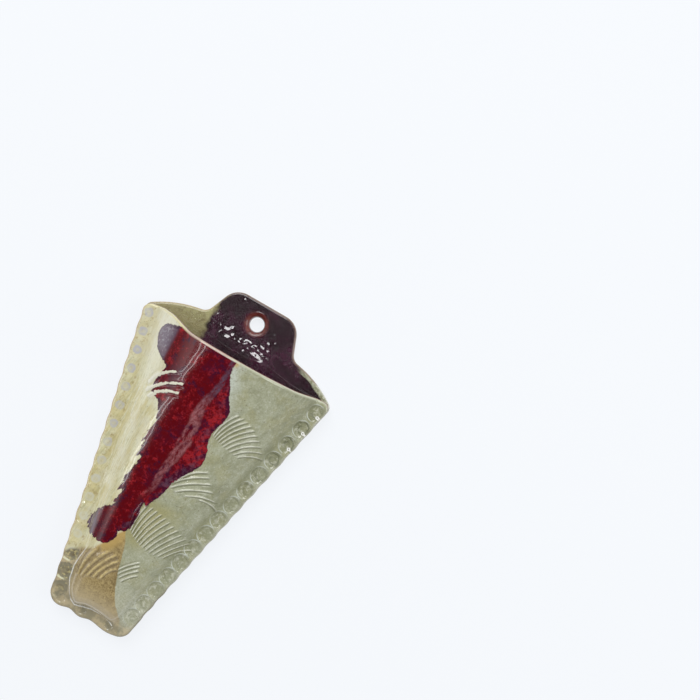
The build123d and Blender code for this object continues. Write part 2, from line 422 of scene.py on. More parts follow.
def lobes(v, x, z):
    """Drop of the bottom edge: one cosine lobe between each two notches, fading out up the slab."""
    ends = lobe_ends(v)
    wave = 0.5 - 0.5 * np.cos(2 * pi * np.interp(x, ends, np.arange(len(ends))))
    return v.lobe * wave * bell(np.clip(z - v.bottom, 0, None), LOBE_FADE)


def ears(v, x, z):
    """Rise of the rim towards its two corners, fading out down the slab."""
    rise = sum(height * smoothstep(start, end, x) for start, end, height in EARS)
    return rise * smoothstep(v.rim - EAR_REACH, v.rim, z)


def side_stamps(count, first, step, closing):
    """Heights of the stamps down one side, each step a little shorter than the last."""
    number = np.arange(count)
    return first - step * number + closing * number * (number - 1) / 2


def scallops(v, share, z):
    """Outward push of the side edges beside each stamp, fading out towards the middle of the slab."""
    phase = []
    for side in (LEFT_STAMPS, RIGHT_STAMPS):
        heights = side_stamps(*side)[::-1]
        phase.append(np.interp(z, heights, np.arange(len(heights))))
    wave = np.cos(2 * pi * np.where(share < 0, *phase))
    push = v.scallop * wave * smoothstep(v.rim, v.rim - SCALLOP_FADE, z)
    return np.sign(share) * np.abs(share) ** SCALLOP_POWER * push


def sheet_faces(rows, columns, first=0, front=True):
    """Squares of a sheet of points laid out row by row, facing out of the wall or into it."""
    grid = first + np.arange((rows + 1) * (columns + 1)).reshape(rows + 1, columns + 1)
    corners = [grid[:-1, :-1], grid[:-1, 1:], grid[1:, 1:], grid[1:, :-1]]
    return np.stack(corners if front else corners[::-1], -1)


def boundary(rows, columns, first=0):
    """Points round a sheet, anticlockwise as seen from the front, from its lower left corner."""
    grid = first + np.arange((rows + 1) * (columns + 1)).reshape(rows + 1, columns + 1)
    return np.concatenate([grid[0, :-1], grid[:-1, -1], grid[-1, :0:-1], grid[:0:-1, 0]])


def band_faces(loop, after):
    """Squares between a closed loop and the next one, which lies further round the edge."""
    return np.stack([loop, after, np.roll(after, -1), np.roll(loop, -1)], -1)


def seam_faces(fine, coarse, step):
    """Polygons that join a fine loop to a coarse one, each along one run of the coarse."""
    run = (np.arange(len(coarse))[:, None] * step + np.arange(step, -1, -1)) % len(fine)
    return np.concatenate([coarse[:, None], np.roll(coarse, -1)[:, None], fine[run]], axis=1)


def outward(loop_points):
    """Unit directions out of a closed anticlockwise loop, square to its neighbours' chord."""
    chord = np.roll(loop_points, -1, axis=0) - np.roll(loop_points, 1, axis=0)
    chord /= np.linalg.norm(chord, axis=1, keepdims=True)
    return np.stack([chord[:, 1], -chord[:, 0]], -1)


def edge_roll(points, front, rear, radius, squareness, rings):
    """Rings of a rounded edge: half a superellipse from the front depth to the rear depth, out by the radius.

    Gives the places of the rings (rings, points, 2), their depths, and how far round each ring is.
    """
    angle = np.linspace(0, pi, rings + 1)[1:, None]
    out = np.abs(np.sin(angle)) ** squareness
    lean = np.sign(np.cos(angle)) * np.abs(np.cos(angle)) ** squareness
    place = points[None] + outward(points)[None] * (radius * out)[..., None]
    depth = (front + rear) / 2 + (front - rear) / 2 * lean
    return place, depth, np.broadcast_to(angle / pi, depth.shape)


def make_piece(name, place, depth, face_groups, values, material):
    """Puts places and depths in millimetres into a mesh object in metres, with named values at its points."""
    mesh = bpy.data.meshes.new(name)
    points = np.stack([place[:, 0], -depth, place[:, 1]], -1) * MM
    faces = [face for group in face_groups for face in group.reshape(-1, group.shape[-1]).tolist()]
    mesh.from_pydata(points.tolist(), [], faces)
    for key, value in values.items():
        layer = mesh.attributes.new(key, "FLOAT", "POINT")
        layer.data.foreach_set("value", np.ascontiguousarray(value, dtype=np.float32))
    mesh.polygons.foreach_set("use_smooth", np.ones(len(mesh.polygons), dtype=bool))
    mesh.materials.append(material)
    mesh.update()
    mesh.validate()
    piece = bpy.data.objects.new(name, mesh)
    bpy.context.scene.collection.objects.link(piece)
    return piece


def stamp_places(v):
    """Centres and radii of the stamps down both sides and along the bottom, and how deep they are pressed."""
    left, right = side_stamps(*LEFT_STAMPS), side_stamps(*RIGHT_STAMPS)
    ends = lobe_ends(v)
    bottom = (ends[:-1] + ends[1:]) / 2
    x = np.concatenate([v.stamp_inset - half_width(v, left), half_width(v, right) - v.stamp_inset, bottom])
    z = np.concatenate([left, right, np.full_like(bottom, v.bottom + v.bottom_margin / 2)])
    counts = len(left), len(right), len(bottom)
    radius = np.repeat([v.stamp_diameter / 2, v.stamp_diameter / 2, v.bottom_stamp / 2], counts)
    return x, z, radius, np.repeat(STAMP_PRESS, counts)


def stamp_marks(v, x, z):
    """Relief of the stamps, half a flat-bottomed dish and half a parabola, and places in the nearest stamp.

    The places are the distance from its centre and the two offsets from it, all in radii. The offsets fade to
    nothing outside the stamp.
    """
    stamp_x, stamp_z, radius, press = stamp_places(v)
    across, up = x[:, None] - stamp_x, z[:, None] - stamp_z
    away = np.hypot(across, up) / radius
    nearest = np.argmin(away, axis=1)
    pick = np.arange(len(x)), nearest
    out = away[pick]
    dish = 1 - smoothstep(DISH_FLOOR, 1.0, out)
    bowl = np.clip(1 - out**2, 0, 1)
    relief = -v.stamp_depth * press[nearest] * (dish + bowl) / 2
    inside = smoothstep(*STAMP_FADE, out) / radius[nearest]
    return relief, out, across[pick] * inside, up[pick] * inside


Fan = namedtuple("Fan", "starts ends count arch width height flare", defaults=(0.0,))
# Fans of comb strokes: where the first, a middle and the last stroke start and end (x, z), the number of
# strokes, how far they arch, their half width and height, and how much wider they start
FANS = {
    "wiped": Fan(
        ((-37.5, -63), (-36.5, -68), (-33, -70)),
        ((-23.2, -47.5), (-14.8, -51.5), (-15.4, -58.2)),
        count=3, arch=2.2, width=0.8, height=0.35, flare=0.8,
    ),
    "upper": Fan(
        ((14.6, -71), (21.5, -74), (32.9, -76.8)),
        ((22.3, -51.5), (36.3, -57.2), (47.9, -72.5)),
        count=10, arch=1.9, width=0.45, height=0.7,
    ),
    "middle": Fan(
        ((8.9, -105.2), (8.1, -112.9), (25.6, -111.1)),
        ((22.9, -92.5), (29.8, -101.1), (38.7, -116.1)),
        count=6, arch=2, width=0.5, height=0.7,
    ),
    "lower": Fan(
        ((-2.6, -147.3), (7.7, -154.5), (23.4, -156.4)),
        ((-2.8, -128.2), (17.5, -131.3), (37, -145)),
        count=13, arch=1.2, width=0.42, height=0.65,
    ),
    "bottom": Fan(
        ((3.6, -174.9), (5.4, -178.3), (8.3, -181.2)),
        ((13.8, -163.8), (15.3, -167.6), (16.3, -172.4)),
        count=4, arch=0.8, width=0.5, height=0.6,
    ),
    "amber": Fan(
        ((-17.6, -193.4), (-11.9, -189.8), (-3.5, -186)),
        ((-14.7, -170.6), (-1.2, -166.6), (3.2, -174.4)),
        count=5, arch=1.6, width=0.95, height=0.6,
    ),
    "fine": Fan(
        ((-35, -126), (-29, -132), (-24, -134)),
        ((-33, -80), (-28, -78), (-24, -79)),
        count=9, arch=0.8, width=0.4, height=0.12,
    ),
}  # fmt: skip
FAN_REACH = 4.0
STROKE_POINTS = 14
LEAST_SPACING = 0.4
# Where strokes fade: shares of their length at the start and the end, and spacings beside the fan
STROKE_START = (0.0, 0.06)
STROKE_END = (1.0, 0.92)
FAN_SIDE = (0.6, 0.45)
# Groove beside a stroke: its offset and breadth in breadths of the stroke, and its depth in heights of it
GROOVE_OFFSET = 2.1
GROOVE_BREADTH = 1.15
GROOVE_DEPTH = 0.7
# Height of a stroke whose colour shows fully, and the spacing kept where no fan is near
FULL_HEIGHT = 0.6
NO_SPACING = 8.0


def through_three(points, share):
    """Places along the parabola through a first, a middle and a last point."""
    first, middle, last = (np.array(point, float) for point in points)
    t = share[:, None]
    return first * (1 - t) * (1 - 2 * t) + middle * 4 * t * (1 - t) + last * t * (2 * t - 1)


def comb_marks(x, z, fan):
    """One fan at the points near it: the place across it, the strokes' spacing, their breadth and strength.

    A stroke is an arched line. The place counts up by one from stroke to stroke, in proportion to the
    distances to the two strokes beside the point. The strength fades at the strokes' ends and beside the fan.
    """
    number = np.linspace(0, 1, fan.count)
    start, end = through_three(fan.starts, number), through_three(fan.ends, number)
    along = np.linspace(0, 1, STROKE_POINTS)[None, :, None]
    chord = (end - start)[:, None]
    left = np.stack([-chord[..., 1], chord[..., 0]], -1) / np.linalg.norm(chord, axis=-1, keepdims=True)
    lines = start[:, None] + chord * along + left * fan.arch * 4 * along * (1 - along)
    low, high = lines.min(axis=(0, 1)) - FAN_REACH, lines.max(axis=(0, 1)) + FAN_REACH
    near = np.flatnonzero((x > low[0]) & (x < high[0]) & (z > low[1]) & (z < high[1]))
    point = np.stack([x[near], z[near]], -1)[:, None]
    each = np.arange(len(near))
    below, gone = np.empty((fan.count, len(near))), np.empty((fan.count, len(near)))
    for stroke, line in enumerate(lines):
        run = np.diff(line, axis=0)
        share = np.clip(((point - line[:-1]) * run).sum(-1) / (run**2).sum(-1), 0, 1)
        gap = point - line[:-1] - share[..., None] * run
        away = np.hypot(gap[..., 0], gap[..., 1])
        best = np.argmin(away, axis=1)
        pick = each, best
        side = run[best, 0] * gap[pick][:, 1] - run[best, 1] * gap[pick][:, 0]
        below[stroke] = np.where(side < 0, away[pick], -away[pick])
        gone[stroke] = (best + share[pick]) / (STROKE_POINTS - 1)
    upper = np.clip((below > 0).sum(axis=0) - 1, 0, fan.count - 2)
    lower = upper + 1
    spacing = np.maximum(below[upper, each] - below[lower, each], LEAST_SPACING)
    share = below[upper, each] / spacing
    done = gone[upper, each] + (gone[lower, each] - gone[upper, each]) * np.clip(share, 0, 1)
    across = upper + share
    beside = np.maximum(-across, across - (fan.count - 1))
    strength = smoothstep(*STROKE_END, done) * smoothstep(*FAN_SIDE, beside)
    if not fan.flare:
        strength = strength * smoothstep(*STROKE_START, done)
    return near, across, spacing, fan.width * (1 + fan.flare * (1 - done) ** 2), strength


def combed(x, z):
    """All fans: relief, share of the wiped strokes, and place, spacing and strength of the other strokes.

    A stroke's ridge is a bell over the distance to it. Its groove is a second bell beside it, lower down.
    """
    relief, wiped, place, force = (np.zeros_like(x) for _ in range(4))
    gap = np.full_like(x, NO_SPACING)
    for name, fan in FANS.items():
        near, across, spacing, breadth, strength = comb_marks(x, z, fan)
        ridge = bell((across - np.round(across)) * spacing, breadth) * strength
        beside = (across - np.floor(across)) * spacing - GROOVE_OFFSET * breadth
        groove = bell(beside, GROOVE_BREADTH * breadth) * strength
        relief[near] += fan.height * (ridge - GROOVE_DEPTH * groove)
        if name == "wiped":
            wiped[near] = ridge
            continue
        better = (strength > force[near]) | ((force[near] == 0) & (gap[near] == NO_SPACING))
        chosen = near[better]
        place[chosen], gap[chosen] = across[better], (spacing / breadth)[better]
        force[chosen] = strength[better] * min(1.0, fan.height / FULL_HEIGHT)
    return relief, wiped, place, gap, force


# Outline of the poured glaze (x, z), round from the rim's left end
POUR = (
    (-36, -23.5), (-45.5, -26.2), (-49, -31), (-48.4, -36.6), (-43.2, -43.5), (-36, -47), (-32, -49),
    (-33.6, -56), (-34.3, -63.5), (-31.5, -67.6), (-27, -68.5), (-23, -74), (-20.7, -80), (-20.5, -85.4),
    (-21.8, -91), (-23.4, -97.4), (-20.6, -94.2), (-20.6, -99.3), (-21.6, -106.8), (-19.2, -104.4),
    (-18.1, -108.2), (-20, -115.4), (-21, -120.6), (-19.9, -124), (-21.4, -130.6), (-18.9, -127.8),
    (-17.8, -132), (-19.6, -140), (-23.7, -145), (-29, -153.7), (-30, -160.3), (-27.5, -164.8), (-21.4, -166),
    (-16.7, -166), (-10.7, -163.6), (-7.1, -157.6), (-8.2, -152.8), (-4.1, -151.4), (-2.3, -147.9),
    (-1.4, -143), (-1.7, -136), (-2.8, -128.6), (0.3, -130.4), (1.2, -126.9), (3.6, -121.9), (6.2, -114),
    (6.4, -109.7), (11.7, -100.1), (14.6, -95.7), (17.5, -90), (16.6, -82.5), (14.3, -76.6), (13.5, -70.7),
    (14.7, -64.3), (16.5, -57.7), (16.3, -52.2), (12.8, -46), (10.2, -40.3), (7.3, -35), (5.4, -28),
    (4.5, -20), (-15, -18),
)  # fmt: skip
POUR_SMOOTHING = 3
# Raised line round the foot of the bow (x, z), its height, its half width, and the heights where it fades in
TOE_LINE = (
    (-18.6, -165), (-20.9, -174.2), (-22.6, -183), (-23.1, -190.4), (-21.4, -199), (-17.6, -205.3),
    (-14, -210.2), (-10.6, -212), (-5.5, -210.8), (0.2, -209.2), (8.7, -208.7), (13, -209.8), (16.8, -212),
)  # fmt: skip
TOE_LINE_HEIGHT = 0.22
TOE_LINE_WIDTH = 0.45
TOE_LINE_FADE = (-166, -178)
# Places (z, x) of the milky streak down the poured glaze, and of the line where brown glaze meets green
STREAK = (
    (-170, -12), (-140, -8), (-116, -2.3), (-100, -1), (-89, 1), (-81, 1.5), (-74, 1.1), (-65, 0.4),
    (-58, 0.2), (-52, 1.2), (-44, 3.3), (-36, 4.2), (-20, 4.8),
)  # fmt: skip
GREEN_EDGE = (
    (-222, 25), (-206, 19), (-198.7, 14.6), (-190.5, 9.6), (-183, 6.6), (-170.5, 3), (-163, 1.3),
    (-157, -0.6), (-150, -4), (-130, -12), (-100, -5), (-60, -5), (-20, -14),
)  # fmt: skip


def closed_curve(knots, runs):
    """A closed smooth curve through knots, as cubics with the slope of the neighbours' chord at each knot."""
    here = np.array(knots, float)[:, None]
    after, later, before = np.roll(here, -1, 0), np.roll(here, -2, 0), np.roll(here, 1, 0)
    t = (np.arange(runs) / runs)[None, :, None]
    cubic = 3 * (here - after) + later - before
    square = 2 * before - 5 * here + 4 * after - later
    return (here + 0.5 * t * (after - before + t * (square + t * cubic))).reshape(-1, 2)


def line_distance(x, z, line):
    """Distance of each point to a line through places."""
    away = np.full_like(x, 1e9)
    for (ax, az), (bx, bz) in zip(line, line[1:]):
        run_x, run_z = bx - ax, bz - az
        t = np.clip(((x - ax) * run_x + (z - az) * run_z) / (run_x**2 + run_z**2), 0, 1)
        away = np.minimum(away, np.hypot(x - ax - t * run_x, z - az - t * run_z))
    return away


def inside_distance(x, z, outline):
    """Distance of each point to a closed outline, positive inside it."""
    closed = np.concatenate([outline, outline[:1]])
    crossings = np.zeros(len(x), dtype=int)
    for (ax, az), (bx, bz) in zip(closed, closed[1:]):
        spans = (az > z) != (bz > z)
        crossings += spans & (x < ax + (z - az) / ((bz - az) or 1e-9) * (bx - ax))
    away = line_distance(x, z, closed)
    return np.where(crossings % 2 == 1, away, -away)


def waves(x, z, table):
    """Sum of sine waves: height times the sine of across times x plus up times z plus start."""
    return sum(height * np.sin(across * x + up * z + start) for height, across, up, start in table)


def front_slab(v, material):
    """The front slab as one closed shell: a fine outer sheet, a rounded edge, and the hollow behind.

    The outer sheet's depth is the soft maximum of the margin's face and the bow, plus stamps, comb strokes
    and the clay's waves. The edge is half a superellipse. The sheet behind lies on the back slab's plane, or
    on the hollow where that stands out of it.
    """
    path = shrunk(spread(front_outline(v), FRONT_ROWS), v.edge_roll)
    share = np.linspace(-1, 1, FRONT_COLUMNS + 1)
    share = (1 - COLUMN_CROWDING) * share + COLUMN_CROWDING * np.sin(0.5 * pi * share)
    x = path[:, :1] * share
    z = np.repeat(path[:, 1:], FRONT_COLUMNS + 1, axis=1)
    x = x + scallops(v, share[None, :], z)
    z = z - lobes(v, x, z)
    level = z.ravel()
    z = z + ears(v, x, z)
    x, z = x.ravel(), z.ravel()
    bow = v.back_thickness + bow_rise(v, x, z)
    above = bow - v.margin_face
    margin = smoothstep(MARGIN_BLEND, -MARGIN_BLEND, above)
    stamp_relief, stamp_out, stamp_x, stamp_z = stamp_marks(v, x, z)
    relief, wiped, comb_place, comb_gap, comb_force = combed(x, z)
    toe_line = line_distance(x, z, TOE_LINE)
    clay = waves(x, z, CLAY_WAVES)
    depth = soft_max(np.full_like(x, v.margin_face), bow, CREASE_BLEND)
    depth = depth - CREASE_DIP * bell(above, CREASE_WIDTH)
    depth = depth + stamp_relief * margin + relief * (1 - margin) + clay * (1 - MARGIN_CALM * margin)
    depth = depth + TOE_LINE_HEIGHT * bell(toe_line, TOE_LINE_WIDTH) * smoothstep(*TOE_LINE_FADE, z)

    loop = boundary(FRONT_ROWS, FRONT_COLUMNS)
    hollow_at_loop = v.back_thickness + bow_rise(v, x[loop], z[loop], v.wall_thickness)
    on_rim = smoothstep(*(v.rim - v.edge_roll * rolls for rolls in RIM_BAND), level[loop])
    rear = np.where(on_rim > 0.5, hollow_at_loop, v.back_thickness)
    loop_place = np.stack([x[loop], z[loop]], -1)
    ring_place, ring_depth, ring_turn = edge_roll(
        loop_place, depth[loop], rear, v.edge_roll, FRONT_SQUARENESS, EDGE_RINGS
    )

    rows, columns = FRONT_ROWS // HOLLOW_STEP, FRONT_COLUMNS // HOLLOW_STEP
    grid = np.arange(len(x)).reshape(FRONT_ROWS + 1, FRONT_COLUMNS + 1)
    coarse = grid[::HOLLOW_STEP, ::HOLLOW_STEP].ravel()
    back_x = x[coarse] * (1 - HOLLOW_INSET / np.maximum(np.abs(x[coarse]), HOLLOW_CORE))
    back_z = z[coarse] + HOLLOW_INSET * smoothstep(v.bottom + HOLLOW_EASE, v.bottom, z[coarse])
    back_z = back_z - HOLLOW_INSET * smoothstep(v.rim - HOLLOW_EASE, v.rim, z[coarse])
    back_depth = v.back_thickness + bow_rise(v, back_x, back_z, v.wall_thickness)

    sheet, edge = len(x), len(loop)
    behind = sheet + edge * EDGE_RINGS
    loops = [loop] + [sheet + edge * ring + np.arange(edge) for ring in range(EDGE_RINGS)]
    faces = [sheet_faces(FRONT_ROWS, FRONT_COLUMNS)]
    faces += [band_faces(a, b) for a, b in zip(loops, loops[1:])]
    faces += [seam_faces(loops[-1], boundary(rows, columns, behind), HOLLOW_STEP)]
    faces += [sheet_faces(rows, columns, behind, front=False)]

    all_x = np.concatenate([x, ring_place[..., 0].ravel(), back_x])
    all_z = np.concatenate([z, ring_place[..., 1].ravel(), back_z])
    all_depth = np.concatenate([depth, ring_depth.ravel(), back_depth])
    hidden = np.zeros(len(back_x))

    def carried(value):
        """A value of the outer sheet, carried round the edge and set to nothing behind."""
        return np.concatenate([value, np.tile(value[loop], EDGE_RINGS), hidden])

    turn = np.concatenate([np.zeros(sheet), ring_turn.ravel(), hidden + 1])
    rim_share = np.concatenate([np.zeros(sheet), np.tile(on_rim, EDGE_RINGS), hidden])
    inner_rim = 0.5 * rim_share[:behind] * smoothstep(*INNER_FROM, turn[:behind])
    values = {
        "pour": inside_distance(all_x, all_z, closed_curve(POUR, POUR_SMOOTHING)),
        "green": all_x - smooth_line(GREEN_EDGE, all_z),
        "streak": all_x - smooth_line(STREAK, all_z),
        "comb_place": carried(comb_place),
        "comb_gap": carried(comb_gap),
        "comb_force": carried(comb_force),
        "wiped": carried(wiped),
        "stamp_out": carried(stamp_out),
        "stamp_x": carried(stamp_x),
        "stamp_z": carried(stamp_z),
        "margin": carried(margin),
        "crease": carried(np.clip(above, -FAR, FAR)),
        "toe_line": carried(np.minimum(toe_line, FAR)),
        "rim": rim_share * smoothstep(*RIM_FROM, turn) * smoothstep(*RIM_TO, turn),
        "edge": (1 - rim_share) * smoothstep(*FRONT_EDGE_FROM, turn),
        "inside": np.append(inner_rim, hidden + 1),
    }
    all_place = np.stack([all_x, all_z], -1)
    return make_piece("front_slab_glazed", all_place, all_depth, faces, values, material)


def back_slab(v, material):
    """The back slab as one closed shell: front and rear sheets, a rounded edge, and a soft-lipped hole.

    The columns beside the hole run straight, so that a square window can be left out of both sheets. A band
    of rings fills it: from the square to a circle, round the lip, down the bore and out to the rear square.
    """
    path = shrunk(back_outline(v), v.edge_roll)
    below, above = path[path[:, 1] <= -WINDOW_HALF], path[path[:, 1] >= WINDOW_HALF]
    window_z = np.linspace(-WINDOW_HALF, WINDOW_HALF, WINDOW_CELLS + 1)
    beside = np.stack([np.interp(window_z, path[:, 1], path[:, 0]), window_z], -1)
    lower = spread(np.concatenate([below, beside[:1]]), LOWER_ROWS)
    upper = spread(np.concatenate([beside[-1:], above]), UPPER_ROWS)
    path = np.concatenate([lower[:-1], beside, upper[1:]])
    rows, columns = len(path) - 1, WINDOW_CELLS + 2 * SIDE_COLUMNS
    width = path[:, :1]
    straight = np.minimum(WINDOW_HALF, WINDOW_SHARE * width)
    out = np.sin(0.5 * pi * np.arange(1, SIDE_COLUMNS + 1) / SIDE_COLUMNS)
    right = straight + (width - straight) * out
    middle = straight * np.linspace(-1, 1, WINDOW_CELLS + 1)
    x = np.concatenate([-right[:, ::-1], middle, right], axis=1)
    z = np.repeat(path[:, 1:], columns + 1, axis=1)
    z = z - lobes(v, x, z)
    x, z = x.ravel(), z.ravel()
    bare = smoothstep(*BARE_BAND, z - v.rim) * smoothstep(*BARE_RADIUS, np.hypot(x, z) / WINDOW_HALF)
    depth = v.back_thickness + waves(x, z, CLAY_WAVES + GLAZE_WAVES) * bare

    sheet = len(x)
    grid = np.arange(sheet).reshape(rows + 1, columns + 1)
    kept = np.ones((rows, columns), dtype=bool)
    kept[LOWER_ROWS : LOWER_ROWS + WINDOW_CELLS, SIDE_COLUMNS : SIDE_COLUMNS + WINDOW_CELLS] = False
    front_faces = sheet_faces(rows, columns)[kept]
    rear_faces = front_faces[:, ::-1] + sheet

    loop = boundary(rows, columns)
    edge = len(loop)
    loop_place = np.stack([x[loop], z[loop]], -1)
    rings = edge_roll(loop_place, depth[loop], np.zeros(edge), v.edge_roll, BACK_SQUARENESS, EDGE_RINGS)
    ring_place, ring_depth, ring_turn = (ring[:-1] for ring in rings)
    edge_loops = [2 * sheet + edge * ring + np.arange(edge) for ring in range(EDGE_RINGS - 1)]
    loops = [loop, *edge_loops, loop + sheet]

    window = grid[LOWER_ROWS:, SIDE_COLUMNS:][: WINDOW_CELLS + 1, : WINDOW_CELLS + 1].ravel()
    window = window[boundary(WINDOW_CELLS, WINDOW_CELLS)]
    count = len(window)
    square = np.stack([x[window], z[window]], -1)
    round_way = square / np.linalg.norm(square, axis=1, keepdims=True)
    bore, lip = v.hole_diameter / 2, v.hole_rounding
    roll = np.linspace(0, 0.5 * pi, LIP_RINGS)
    past_bore, foot_depth = np.array(BORE_FOOT).T
    radius = np.concatenate([bore + lip - lip * np.sin(roll), bore + past_bore])[:, None, None]
    circles = round_way[None] * radius
    blend = np.array([1 / 3, 2 / 3])[:, None, None]
    hole_place = np.concatenate([square + (circles[0] - square) * blend, circles])
    lip_depth = v.back_thickness - lip + lip * np.cos(roll)
    hole_depth = np.concatenate([np.full(len(blend), v.back_thickness), lip_depth, foot_depth])
    first_hole = 2 * sheet + edge * (EDGE_RINGS - 1)
    hole_rings = [first_hole + count * ring + np.arange(count) for ring in range(len(hole_place))]
    hole_loops = [window, *hole_rings, window + sheet]

    face_groups = [front_faces, rear_faces]
    face_groups += [band_faces(a, b) for a, b in zip(loops, loops[1:])]
    face_groups += [band_faces(b, a) for a, b in zip(hole_loops, hole_loops[1:])]
    flat = np.stack([x, z], -1)
    all_place = np.concatenate([flat, flat, ring_place.reshape(-1, 2), hole_place.reshape(-1, 2)])
    all_depth = np.concatenate([depth, np.zeros(sheet), ring_depth.ravel(), np.repeat(hole_depth, count)])
    turn = np.concatenate([np.zeros(sheet), np.ones(sheet), ring_turn.ravel()])
    rolled = smoothstep(*BACK_EDGE_FROM, turn) * smoothstep(*BACK_EDGE_TO, turn)
    from_hole = np.hypot(*all_place.T)
    bore_clay = np.repeat(smoothstep(*BORE_CLAY, hole_depth), count)
    values = {
        "rear": np.append(smoothstep(*CLAY_FROM, turn), bore_clay),
        "edge": np.append(rolled, np.zeros(len(hole_place) * count)),
        "lip": bell(np.clip(from_hole - bore - LIP_GLOW, 0, None), LIP_GLOW) * (from_hole < WINDOW_HALF),
        "border": np.minimum(line_distance(*all_place.T, back_outline(v)), FAR),
    }
    return make_piece("back_slab_glazed", all_place, all_depth, face_groups, values, material)


# Painted highlight of a glint in a stamp: offsets from its centre in radii; and the way to the middle
# of a stamp's arch
PAINTED_GLINT_PLACE = (0.33, -0.35)
ARCH_WAY = (-0.956, 0.255)

# Shine of the fired glaze: its own refraction and the clear layer on it; and the fine relief, in metres
GLAZE_IOR = 1.5
GLAZE_COAT = 0.7
COAT_ROUGHNESS = 0.04
COAT_IOR = 1.6
BUMP_STRENGTH = 0.6
FRONT_BUMP = 0.00022
BACK_BUMP = 0.0009

# In the glazes below, a step along across or up runs between places in metres, a step of a distance kept at
# the points runs in millimetres, and a step of noise picks out part of its range from 0 to 1. Places in a
# stamp are in its radii, and places beside a stroke in its breadths.


def put(socket, value):
    """Joins an output to a socket, or sets the socket's own value."""
    if isinstance(value, Share):
        value = value.socket
    if isinstance(value, bpy.types.NodeSocket):
        socket.id_data.links.new(value, socket)
    elif socket.type == "RGBA":
        socket.default_value = (*value, 1.0)
    else:
        socket.default_value = value


def add_node(tree, kind, inputs=(), **settings):
    """A new node with its settings, and its sockets, by name or number, joined or set."""
    node = tree.nodes.new(kind)
    for key, setting in settings.items():
        setattr(node, key, setting)
    for key, value in dict(inputs).items():
        put(node.inputs[key], value)
    return node


def bare_material(name):
    """A new material, its node tree, and the socket for its surface."""
    material = bpy.data.materials.new(name)
    material.use_nodes = True
    tree = material.node_tree
    tree.nodes.clear()
    return material, tree, tree.nodes.new("ShaderNodeOutputMaterial").inputs["Surface"]


class Share:
    """A number in a material's nodes. Arithmetic with it adds a node for each operation."""

    def __init__(self, socket):
        self.socket = socket

    def math(self, operation, other=0.0):
        """An operation of this number, or of this number and another."""
        tree = self.socket.id_data
        return Share(add_node(tree, "ShaderNodeMath", {0: self, 1: other}, operation=operation).outputs[0])

    def __add__(self, other):
        return self.math("ADD", other)

    def __sub__(self, other):
        return self.math("SUBTRACT", other)

    def __rsub__(self, other):
        return self * -1.0 + other

    def __mul__(self, other):
        return self.math("MULTIPLY", other)

    def __abs__(self):
        return self.math("ABSOLUTE")

    def step(self, low, high, start=0.0, end=1.0):
        """An S curve from start to end as the number goes from low to high."""
        inputs = dict(enumerate((self, low, high, start, end)))
        tree = self.socket.id_data
        node = add_node(tree, "ShaderNodeMapRange", inputs, interpolation_type="SMOOTHSTEP")
        return Share(node.outputs[0])


